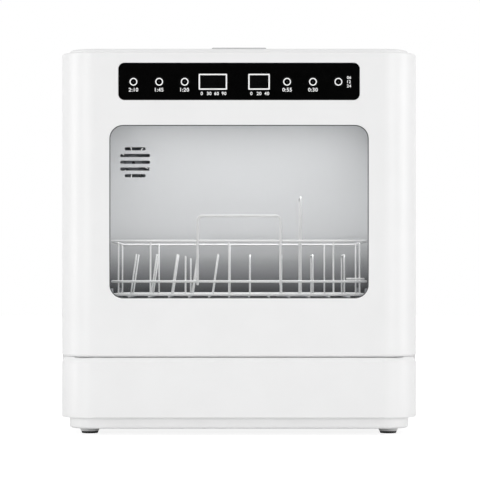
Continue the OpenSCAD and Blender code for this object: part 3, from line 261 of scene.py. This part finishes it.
finish.update({
    "tubDarkFloorAndPaintedShade": tubDarkFloorAndPaintedShade(),
    "coatedWire": coatedWire(),
    "brushedStainless": brushedStainless(),
    "glossAcrylic": glossAcrylic(),
    "smokedLens": smokedLens(),
    "toughenedGlass": toughenedGlass(),
    "blackRubber": mouldedRubber("blackRubber", "2c2c2e", "1c1c1d", 0.68, 0.8, 0.5),
    "greySilicone": mouldedRubber("greySilicone", "8f9193", "818385", 0.5, 1.2, 0.25),
    "circuitBoard": circuitBoard(),
    "milkyPolyethylene": milkyPolyethylene(),
    "whiteInk": screenInk("whiteInk", "ffffff", "fbfbfb"),
    "greyInk": screenInk("greyInk", "4a4b4d", "434446"),
    # a dark grey line round the window pane, drawn with the flat ink shader
    "windowEdgeDark": screenInk("windowEdgeDark", "5c5d5f", "525355"),
})
print("finishes made:", len(finish))


# Carried-over nodes: a finish and a softened edge for each.

dressing = {  # finish: (nodes, softened edge in mm)
    "whiteAbs": (["lower_panel", "left_side_panel", "right_side_panel", "rear_panel", "top_cover",
                  "door_shell", "fill_lid"], 0.35),
    "whitePlinthPaintedLight": (["base_pan", "feet"], 0.35),
    "tubDarkFloorAndPaintedShade": (["tub"], 0.6),
    "linerPolypropylene": (["door_liner", "front_frame", "fill_neck"], 0.6),
    "greyPolypropylene": (["sump", "filter_basket", "spray_hub", "spray_arm_cap", "spray_arm", "rack_rails",
                           "rack_glides", "inlet_connector", "drain_connector", "fan_wheel"], 0.3),
    "pullAbs": (["door_pull"], 0.3),
    "blackPolyamide": (["wash_pump", "drain_pump", "riser_pipe", "drain_hose", "fan_housing", "cord_gland",
                        "latch_housing"], 0.3),
    "blackRubber": (["foot_pads", "window_seal"], 0.3),
    "greySilicone": (["tub_gasket"], 0.5),
    "brushedStainless": (["filter_plate", "heater", "hinge_brackets", "hinge_pins", "hinge_arms",
                          "latch_tongue", "panel_screws", "liner_screws"], 0.15),
    "circuitBoard": (["main_board", "control_board"], 0.1),
    "milkyPolyethylene": (["water_tank"], 0.5),
    "toughenedGlass": (["window_pane"], 0.4),
    "glossAcrylic": (["control_fascia", "button_1", "button_2", "button_3", "button_4", "button_5",
                      "button_6"], 0.12),
    "smokedLens": (["display_lenses"], 0.12),
}


edges = {"weld": 0.002, "flatAngle": 0.4, "sharpAngle": 40, "segments": 2}  # mm, degrees


def softenEdges(piece, width):
    weld = piece.modifiers.new("weld", "WELD")
    weld.merge_threshold = edges["weld"] * mm
    flat = piece.modifiers.new("joinFlats", "DECIMATE")  # one face per flat, so no sliver shades oddly
    flat.decimate_type = "DISSOLVE"
    flat.angle_limit = math.radians(edges["flatAngle"])
    bevel = piece.modifiers.new("softEdge", "BEVEL")
    bevel.width = width * mm
    bevel.segments = edges["segments"]
    bevel.limit_method = "ANGLE"
    bevel.angle_limit = math.radians(edges["sharpAngle"])
    bevel.harden_normals = False
    normals = piece.modifiers.new("flatFaces", "WEIGHTED_NORMAL")
    normals.keep_sharp = True


for finishName, (names, edge) in dressing.items():
    for name in names:
        mesh = nodes[name].data
        mesh.materials.clear()
        mesh.materials.append(finish[finishName])
        softenEdges(nodes[name], edge)
print("nodes dressed:", sum(len(names) for names, edge in dressing.values()))


# Mesh tools, in millimetres.

def addPiece(name, mesh, body, material, standsFor=()):
    piece = bpy.data.objects.new(name, mesh)
    scene.collection.objects.link(piece)
    mesh.materials.clear()
    mesh.materials.append(finish[material])
    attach(piece, body)
    if standsFor:
        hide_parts(*standsFor)
    return piece


def toMesh(name, work, smooth=True):
    mesh = bpy.data.meshes.new(name)
    bmesh.ops.recalc_face_normals(work, faces=work.faces)
    work.to_mesh(mesh)
    work.free()
    for face in mesh.polygons:
        face.use_smooth = smooth
    return mesh


def bendCorners(corners, radius, closed=False, steps=7):  # straight runs with round bends, in mm
    corners = [Vector(c) for c in corners]
    path, count = [], len(corners)
    for i, corner in enumerate(corners):
        if not closed and i in (0, count - 1):
            path.append(corner)
            continue
        back = (corners[i - 1] - corner).normalized()
        ahead = (corners[(i + 1) % count] - corner).normalized()
        half = back.angle(ahead) / 2
        reach = radius / math.tan(half)
        centre = corner + (back + ahead).normalized() * radius / math.sin(half)
        start, end = corner + back * reach - centre, corner + ahead * reach - centre
        turn = math.pi - 2 * half
        for k in range(steps + 1):
            t = k / steps
            arm = start * math.sin((1 - t) * turn) + end * math.sin(t * turn)
            path.append(centre + arm / math.sin(turn))
    return path


def addWire(work, path, radius, closed=False, sides=12):  # round wire along a path in mm, with round tips
    path = [Vector(p) for p in path]
    count = len(path)
    tangents = []
    for i in range(count):
        before = path[i - 1] if closed or i else path[i]
        after = path[(i + 1) % count] if closed or i < count - 1 else path[i]
        tangents.append((after - before).normalized())
    side = tangents[0].orthogonal().normalized()
    rings = []

    def ring(centre, tangent, width):
        across = tangent.cross(side)
        return [work.verts.new((centre + (side * math.cos(a) + across * math.sin(a)) * width) * mm)
                for a in (2 * math.pi * k / sides for k in range(sides))]

    def join(first, second):
        for k in range(sides):
            work.faces.new((first[k], first[(k + 1) % sides], second[(k + 1) % sides], second[k]))

    def tip(edge, centre, tangent, sign):
        previous = edge
        for angle in (35, 65):
            a = math.radians(angle)
            nearer = ring(centre + tangent * sign * radius * 0.7 * math.sin(a), tangent, radius * math.cos(a))
            join(previous, nearer)
            previous = nearer
        point = work.verts.new((centre + tangent * sign * radius * 0.7) * mm)
        for k in range(sides):
            work.faces.new((previous[k], previous[(k + 1) % sides], point))

    for point, tangent in zip(path, tangents):
        side = (side - tangent * side.dot(tangent)).normalized()
        rings.append(ring(point, tangent, radius))
    for first, second in zip(rings, rings[1:]):
        join(first, second)
    if closed:
        join(rings[-1], rings[0])
    else:
        side = (side - tangents[-1] * side.dot(tangents[-1])).normalized()
        tip(rings[-1], path[-1], tangents[-1], 1)
        side = tangents[0].orthogonal().normalized()
        tip(rings[0], path[0], tangents[0], -1)


def addWeld(work, centre, size):  # flattened bead where two wires are fused
    shape = Matrix.Translation(Vector(centre) * mm) @ Matrix.Diagonal((*[s * mm for s in size], 1))
    bmesh.ops.create_icosphere(work, subdivisions=2, radius=1, matrix=shape)


# Wire rack: three welded loops, floor wires, tines and a pull handle.

rack = {
    "midY": -20.1, "loopW": 305, "loopD": 278, "cornerR": 14,
    "rails": [229, 180.7, 164.8], "frameR": 1.5, "thinR": 1.1,
    "uprightX": [-106, -64, -12, 113], "shortUprightX": -64, "sideY": [-30, 60],
    "floorX": range(-132, 133, 24), "floorZ": 162.5, "crossZ": 163.9, "crossWires": 7,
    "tineZ": 163.4, "tineRows": [10, 72], "tineX": [-138 + 26 * i for i in range(5)],
    "tineLean": 8, "tineL": 52, "tineBase": (-142, -28),
    "handleW": 99, "handleTop": 259, "handleY": -161.8, "handleFoot": 177.2,
    "endWire": (129, -155.6, 183.9), "endBend": 4,
    "hooks": [(75, -88, 60, 283, 1.3)]  # x, y, spread, top, radius
             + [(x, 40, 70, 214, 1.1) for x in (14, 54, 94, 134)],
    "hookBend": 5, "hookBases": [(8, 5, 134), (8, 75, 134), (46, -118, 60), (46, -58, 60)],  # x, y, length
}


def rackLoop(z):
    w, d, y = rack["loopW"] / 2, rack["loopD"] / 2, rack["midY"]
    corners = [(-w, y - d, z), (w, y - d, z), (w, y + d, z), (-w, y + d, z)]
    return bendCorners(corners, rack["cornerR"], closed=True)


def makeRackFrame():
    work = bmesh.new()
    w, d, y = rack["loopW"] / 2, rack["loopD"] / 2, rack["midY"]
    inset = rack["frameR"] + rack["thinR"] - 0.4
    top, mid, low = rack["rails"]
    for z in rack["rails"]:
        addWire(work, rackLoop(z), rack["frameR"], closed=True, sides=16)
    for x in rack["uprightX"]:
        end = mid + 30 if x == rack["shortUprightX"] else top - 0.9
        for s in (-1, 1):
            wireY = y + s * (d - inset)
            addWire(work, [(x, wireY, low), (x, wireY, end)], rack["thinR"])
            for z in (low, mid) + ((top,) if end > mid + 40 else ()):
                addWeld(work, (x, y + s * (d - 1.1), z), (1.5, 0.9, 1.2))
    for along in rack["sideY"]:
        for s in (-1, 1):
            wireX = s * (w - inset)
            addWire(work, [(wireX, y + along, low), (wireX, y + along, top - 0.9)], rack["thinR"])
            for z in rack["rails"]:
                addWeld(work, (s * (w - 1.1), y + along, z), (0.9, 1.5, 1.2))
    endX, endY, endZ = rack["endWire"]
    runX = w - inset - 0.7
    corners = [(endX, endY, endZ), (runX, endY, endZ), (runX, y + rack["sideY"][-1] + 3, endZ)]
    addWire(work, bendCorners(corners, rack["endBend"]), rack["thinR"])
    return toMesh("rackFrame", work)


def makeRackFloor():
    work = bmesh.new()
    w, d, y = rack["loopW"] / 2, rack["loopD"] / 2, rack["midY"]
    crossY = [y - d + i * 2 * d / (rack["crossWires"] + 1) for i in range(1, rack["crossWires"] + 1)]
    for x in rack["floorX"]:
        addWire(work, [(x, y - d, rack["floorZ"]), (x, y + d, rack["floorZ"])], rack["thinR"])
        for along in crossY:
            addWeld(work, (x, along, rack["crossZ"] - 0.7), (1.25, 1.25, 0.8))
        for s in (-1, 1):
            addWeld(work, (x, y + s * (d - 0.2), rack["floorZ"] + 1.0), (1.4, 1.0, 0.8))
    for along in crossY:
        addWire(work, [(-w, along, rack["crossZ"]), (w, along, rack["crossZ"])], rack["thinR"])
    return toMesh("rackFloor", work)


def hook(x, y, spread, z0, z1, alongX):
    step = Vector((spread / 2, 0, 0)) if alongX else Vector((0, spread / 2, 0))
    foot, head = Vector((x, y, z0)), Vector((x, y, z1))
    return bendCorners([foot - step, head - step, head + step, foot + step], rack["hookBend"])


def makePlateTines():
    work = bmesh.new()
    lean = math.radians(rack["tineLean"])
    for y in rack["tineRows"]:
        addWire(work, [(x, y, rack["tineZ"]) for x in rack["tineBase"]], rack["thinR"])
        for x in rack["tineX"]:
            foot = Vector((x, y, rack["tineZ"]))
            head = foot + Vector((math.sin(lean), 0, math.cos(lean))) * rack["tineL"]
            addWire(work, [foot, head], rack["thinR"])
            addWeld(work, (x, y, rack["tineZ"] + 0.9), (1.4, 1.3, 0.9))
    return toMesh("plateTines", work)


def makeCupTines():
    work = bmesh.new()
    for x, y, spread, z1, r in rack["hooks"]:
        addWire(work, hook(x, y, spread, rack["tineZ"], z1, False), r)
        for s in (-1, 1):
            addWeld(work, (x, y + s * spread / 2, rack["tineZ"] + 0.8), (1.5, 1.4, 0.9))
    for x, y, length in rack["hookBases"]:
        addWire(work, [(x, y, rack["tineZ"]), (x + length, y, rack["tineZ"])], rack["thinR"])
    return toMesh("cupTines", work)


def makeRackHandle():
    work = bmesh.new()
    z0, z1 = rack["handleFoot"], rack["handleTop"]
    addWire(work, hook(0, rack["handleY"], rack["handleW"], z0, z1, True), rack["frameR"], sides=16)
    for s in (-1, 1):
        for z in (rack["rails"][0], rack["rails"][1]):
            addWeld(work, (s * rack["handleW"] / 2, rack["handleY"] + 1.2, z), (1.6, 0.7, 1.4))
    return toMesh("rackHandle", work)


for pieceName, make, node in (("rackFrame", makeRackFrame, "rack_frame"),
                              ("rackFloor", makeRackFloor, "rack_floor"),
                              ("plateTines", makePlateTines, "plate_tines"),
                              ("cupTines", makeCupTines, "cup_tines"),
                              ("rackHandle", makeRackHandle, "rack_handle")):
    addPiece(pieceName, make(), "rack", "coatedWire", [node])
print("wire rack made")


# Panel prints: rings and dots on the keys, display outlines and plain numbers.

def outline(width, height, radius, steps=10):  # round-cornered outline about the origin, (x, z) in mm
    points = []
    for cx, cz, first in ((1, 1, 0), (-1, 1, 90), (-1, -1, 180), (1, -1, 270)):
        for k in range(steps + 1):
            a = math.radians(first + 90 * k / steps)
            points.append((cx * (width / 2 - radius) + radius * math.cos(a),
                           cz * (height / 2 - radius) + radius * math.sin(a)))
    return points


def addBand(work, outer, inner, x, z, front, back):  # frame between two outlines, facing the front
    loops = [[work.verts.new(((x + px) * mm, y * mm, (z + pz) * mm)) for px, pz in line]
             for y, line in ((front, outer), (front, inner), (back, inner), (back, outer))]
    count = len(outer)
    for first, second in zip(loops, loops[1:] + loops[:1]):
        for k in range(count):
            work.faces.new((first[k], first[(k + 1) % count], second[(k + 1) % count], second[k]))


def circle(radius, steps=48):
    return [(radius * math.cos(2 * math.pi * k / steps), radius * math.sin(2 * math.pi * k / steps))
            for k in range(steps)]


panel = {
    "frontY": -214.95, "keyFrontY": -214.9, "rowZ": 414.3, "ink": 0.03,
    "keyX": [-123.5, -93.4, -63.6, 56.2, 86.4, 116.2], "ringR": 4.55, "ringLine": 1.25, "dotR": 0.45,
    "displays": [(-30.6, 33.2), (23.4, 25.2)], "displayH": 18.6, "displayLine": 1.55,  # x, width
    "keyNumbers": ["2:10", "1:45", "1:20", "0:55", "0:30"], "keyNumberZ": 405.0, "keyNumberH": 4.5,
    "scales": [(["0", "30", "60", "90"], -30.6, 31), (["0", "20", "40"], 23.4, 23)],
    "scaleZ": 400.6, "scaleH": 4.0,
    "sideNumbers": ["06", "12", "24"], "sideX": 128.6, "sideZ": [419.2, 414.3, 409.4], "sideH": 3.5,
}


def makeKeyMark():  # ring and centre dot on one key, about the key's middle
    work = bmesh.new()
    front = panel["keyFrontY"] - panel["ink"]
    addBand(work, circle(panel["ringR"]), circle(panel["ringR"] - panel["ringLine"]), 0, panel["rowZ"],
            front, panel["keyFrontY"] + 0.01)
    return work


for number, x in enumerate(panel["keyX"], 1):
    work = makeKeyMark()
    bmesh.ops.translate(work, verts=work.verts, vec=(x * mm, 0, 0))
    addPiece(f"keyRing{number}", toMesh(f"keyRing{number}", work, smooth=False), f"button_{number}",
             "whiteInk")
    work = bmesh.new()
    addBand(work, circle(panel["dotR"], 20), circle(0.1, 20), x, panel["rowZ"],
            panel["keyFrontY"] - panel["ink"], panel["keyFrontY"] + 0.01)
    addPiece(f"keyDot{number}", toMesh(f"keyDot{number}", work, smooth=False), f"button_{number}",
             "greyInk")

work = bmesh.new()
for x, width in panel["displays"]:
    line = panel["displayLine"]
    addBand(work, outline(width, panel["displayH"], 0.9),
            outline(width - 2 * line, panel["displayH"] - 2 * line, 0.3), x, panel["rowZ"],
            panel["keyFrontY"] - panel["ink"], panel["keyFrontY"] + 0.01)
addPiece("displayOutlines", toMesh("displayOutlines", work, smooth=False), "door", "whiteInk")


def addNumber(work, words, x, z, height, width=None):  # plain digits, centred on x and z, in mm
    text = bpy.data.curves.new("digits", "FONT")
    text.body = words
    text.align_x, text.align_y = "CENTER", "CENTER"
    text.size = 1.0
    text.offset = 0.02
    text.space_character = 1.1
    text.resolution_u = 4
    holder = bpy.data.objects.new("digits", text)
    scene.collection.objects.link(holder)
    flat = bpy.data.meshes.new_from_object(holder.evaluated_get(bpy.context.evaluated_depsgraph_get()))
    low = Vector(map(min, zip(*[v.co for v in flat.vertices])))
    high = Vector(map(max, zip(*[v.co for v in flat.vertices])))
    scale = height / (high.y - low.y)
    middle = (low + high) / 2
    flat.transform(Matrix.Translation(Vector((x, panel["frontY"] - panel["ink"], z)) * mm)
                   @ Matrix.Rotation(math.radians(90), 4, "X")
                   @ Matrix.Diagonal((scale * mm, scale * mm, 1, 1)) @ Matrix.Translation(-middle))
    work.from_mesh(flat)
    bpy.data.objects.remove(holder)
    bpy.data.curves.remove(text)
    bpy.data.meshes.remove(flat)


work = bmesh.new()
for words, x in zip(panel["keyNumbers"], panel["keyX"]):
    addNumber(work, words, x, panel["keyNumberZ"], panel["keyNumberH"])
for words, x, width in panel["scales"]:
    for k, word in enumerate(words):
        share = k / (len(words) - 1) - 0.5
        addNumber(work, word, x + share * (width - 5), panel["scaleZ"], panel["scaleH"])
for word, z in zip(panel["sideNumbers"], panel["sideZ"]):
    addNumber(work, word, panel["sideX"], z, panel["sideH"])
bmesh.ops.dissolve_degenerate(work, edges=work.edges, dist=0.001 * mm)
extruded = bmesh.ops.extrude_face_region(work, geom=work.faces[:])
bmesh.ops.translate(work, verts=[v for v in extruded["geom"] if isinstance(v, bmesh.types.BMVert)],
                    vec=(0, (panel["ink"] + 0.01) * mm, 0))
addPiece("panelNumbers", toMesh("panelNumbers", work, smooth=False), "door", "whiteInk")
print("panel prints made")


# Window edge: a dark grey line round the pane, just inside the opening.

window = {"w": 303.5, "h": 203, "r": 16, "midZ": 262.4, "glassY": -212.0, "line": 1.1}
work = bmesh.new()
addBand(work, outline(window["w"] + 0.6, window["h"] + 0.6, window["r"] + 0.3, 16),
        outline(window["w"] - 2 * window["line"], window["h"] - 2 * window["line"],
                window["r"] - window["line"], 16), 0, window["midZ"], window["glassY"] - 0.03,
        window["glassY"] + 0.01)
addPiece("windowBorder", toMesh("windowBorder", work, smooth=False), "door", "windowEdgeDark")
print("window border made")


# Hose spigots: what a nut and a hose grip.

spigot = {  # both stand along Y: a 3/4 inch pipe thread on the inlet, barbs on the drain
    "z": 68, "inletX": -160, "inletR": 13.2, "threadFrom": 192.5, "threadTo": 209.5, "pitch": 1.814,
    "threadRise": 0.5, "runOut": 12, "drainX": -116, "drainR": 8.5, "barbs": [194, 199.5, 205],
    "barbL": 4, "barbRise": 0.7, "sunk": 0.1,
}


def addRing(work, row, last):  # joins two loops of the same number of points
    for a, b in zip(range(len(row)), [*range(1, len(row)), 0]):
        work.faces.new((last[a], last[b], row[b], row[a]))


def makeInletThread():  # ridge wound round the spigot, running out at both ends
    work = bmesh.new()
    perTurn = 40
    count = int((spigot["threadTo"] - spigot["threadFrom"]) / spigot["pitch"] * perTurn)
    rows = []
    for i in range(count + 1):
        turn = 2 * math.pi * i / perTurn
        rise = spigot["threadRise"] * min(1, i / spigot["runOut"], (count - i) / spigot["runOut"])
        row = []
        for across, out in ((-0.75, -spigot["sunk"]), (-0.2, rise), (0.2, rise), (0.75, -spigot["sunk"])):
            reach = spigot["inletR"] + out
            row.append(work.verts.new(Vector((
                spigot["inletX"] + reach * math.cos(turn),
                spigot["threadFrom"] + spigot["pitch"] * i / perTurn + across,
                spigot["z"] + reach * math.sin(turn))) * mm))
        if rows:
            addRing(work, row, rows[-1])
        rows.append(row)
    work.faces.new(rows[0])
    work.faces.new(rows[-1])
    return toMesh("inletThread", work)


def makeDrainBarbs():  # each slopes up from the open end and drops towards the cabinet
    work = bmesh.new()
    for y in spigot["barbs"]:
        rows = []
        for along, out in ((spigot["barbL"], -spigot["sunk"]), (0.2, spigot["barbRise"]),
                           (0, spigot["barbRise"]), (0, -spigot["sunk"])):
            reach = spigot["drainR"] + out
            rows.append([work.verts.new(Vector((
                spigot["drainX"] + reach * math.cos(turn), y + along,
                spigot["z"] + reach * math.sin(turn))) * mm)
                for turn in [2 * math.pi * i / 48 for i in range(48)]])
        for row, last in zip(rows, rows[-1:] + rows[:-1]):
            addRing(work, row, last)
    return toMesh("drainBarbs", work)


for pieceName, make in (("inletThread", makeInletThread), ("drainBarbs", makeDrainBarbs)):
    addPiece(pieceName, make(), "cabinet", "greyPolypropylene")
print("hose spigots finished")


# Stage, light and camera.

studio = {
    "floorSize": 16, "ambient": 0.625, "card": 0.03,  # world strengths
    "softboxes": [  # name, place, aim, width, height, watts
        ("leftSoftbox", (-3.2, -1.0, 0.8), (0, -0.1, 0.22), 1.2, 1.6, 19),
        ("rightSoftbox", (3.2, -1.0, 0.8), (0, -0.1, 0.22), 1.2, 1.6, 19),
        ("frontLeftSoftbox", (-1.9, -3.6, 0.7), (0, -0.1, 0.25), 1.2, 1.2, 17.4),
        ("frontRightSoftbox", (1.9, -3.6, 0.7), (0, -0.1, 0.25), 1.2, 1.2, 17.4),
        ("backSoftbox", (0, 3.8, 1.2), (0, 0.2, 0.25), 1.4, 1.2, 21),
    ],
    "tubLamp": ((0, -0.03, 0.421), (0, -0.029, 0.2), 0.33, 0.26, 0.76), "tubSpread": 157,
    "paint": "f6f6f6", "glow": 1.35, "glowShare": 0.65,  # floor: paint, and white glow for the camera
    "camera": (0, -2.715, 0.1825), "lens": 160.35, "sensor": 36, "shift": (0.002, 0.0833),
}


def addLamp(name, place, aim, width, height, watts):
    data = bpy.data.lights.new(name, "AREA")
    data.shape = "RECTANGLE"
    data.size, data.size_y = width, height
    data.energy = watts
    lamp = bpy.data.objects.new(name, data)
    lamp.location = place
    lamp.rotation_mode = "QUATERNION"
    lamp.rotation_quaternion = (Vector(aim) - Vector(place)).to_track_quat("-Z", "Y")
    lamp.visible_camera = False
    scene.collection.objects.link(lamp)
    return lamp


for values in studio["softboxes"]:
    addLamp(*values)
place, aim, width, height, watts = studio["tubLamp"]
tubLamp = addLamp("tubLamp", place, aim, width, height, watts)  # lights the empty tub as its own lamp would
tubLamp.data.spread = math.radians(studio["tubSpread"])  # shielded, so the wall's top edge stays dim

world = bpy.data.worlds.new("studio")
scene.world = world
world.use_nodes = True
tree = world.node_tree
tree.nodes.clear()
ray = addNode(tree, "ShaderNodeLightPath").outputs
seen = addNode(tree, "ShaderNodeMath", {"operation": "MAXIMUM"},
               {0: ray["Is Camera Ray"], 1: ray["Is Glossy Ray"]})
seen = addNode(tree, "ShaderNodeMath", {"operation": "MAXIMUM"},
               {0: seen.outputs["Value"], 1: ray["Is Transmission Ray"]})
fill = addNode(tree, "ShaderNodeBackground", {"Color": toLinear("ffffff"), "Strength": studio["ambient"]})
# The camera sees white; mirror rays that leave towards the front meet a dark card, as in a product studio.
heading = addNode(tree, "ShaderNodeSeparateXYZ",
                  links={"Vector": addNode(tree, "ShaderNodeTexCoord").outputs["Generated"]})
card = addNode(tree, "ShaderNodeMapRange",
               {"From Min": -1.0, "From Max": -0.8, "To Min": studio["card"], "To Max": 1.0},
               {"Value": heading.outputs["Y"]})
level = addNode(tree, "ShaderNodeMath", {"operation": "MAXIMUM"},
                {0: ray["Is Camera Ray"], 1: card.outputs["Result"]})
level = addNode(tree, "ShaderNodeMath", {"operation": "MAXIMUM"},
                {0: ray["Is Transmission Ray"], 1: level.outputs["Value"]})
white = addNode(tree, "ShaderNodeBackground", {"Color": toLinear("ffffff")},
                {"Strength": level.outputs["Value"]})
mixed = addNode(tree, "ShaderNodeMixShader", links={0: seen.outputs["Value"], 1: fill.outputs["Background"],
                                                    2: white.outputs["Background"]})
addNode(tree, "ShaderNodeOutputWorld", links={"Surface": mixed.outputs["Shader"]})

floorMaterial = bpy.data.materials.new("paleFloor")
floorMaterial.use_nodes = True
tree = floorMaterial.node_tree
tree.nodes.clear()
ray = addNode(tree, "ShaderNodeLightPath").outputs
paint = addNode(tree, "ShaderNodeBsdfDiffuse", {"Color": toLinear(studio["paint"])})
glow = addNode(tree, "ShaderNodeEmission", {"Color": toLinear("ffffff"), "Strength": studio["glow"]})
share = addNode(tree, "ShaderNodeMath", {"operation": "MULTIPLY", 1: studio["glowShare"]},
                {0: ray["Is Camera Ray"]})
mixed = addNode(tree, "ShaderNodeMixShader", links={0: share.outputs["Value"], 1: paint.outputs["BSDF"],
                                                    2: glow.outputs["Emission"]})
addNode(tree, "ShaderNodeOutputMaterial", links={"Surface": mixed.outputs["Shader"]})
work = bmesh.new()
bmesh.ops.create_grid(work, x_segments=1, y_segments=1, size=studio["floorSize"] / 2)
floor = bpy.data.objects.new("floor", toMesh("floor", work))
floor.data.materials.append(floorMaterial)
scene.collection.objects.link(floor)

camera = bpy.data.cameras.new("camera")
camera.sensor_width = studio["sensor"]
camera.lens = studio["lens"]
camera.shift_x, camera.shift_y = studio["shift"]
view = bpy.data.objects.new("camera", camera)
view.location = studio["camera"]
view.rotation_euler = (math.radians(90), 0, 0)
scene.collection.objects.link(view)
scene.camera = view
scene.view_settings.view_transform = "Standard"
print("studio ready")
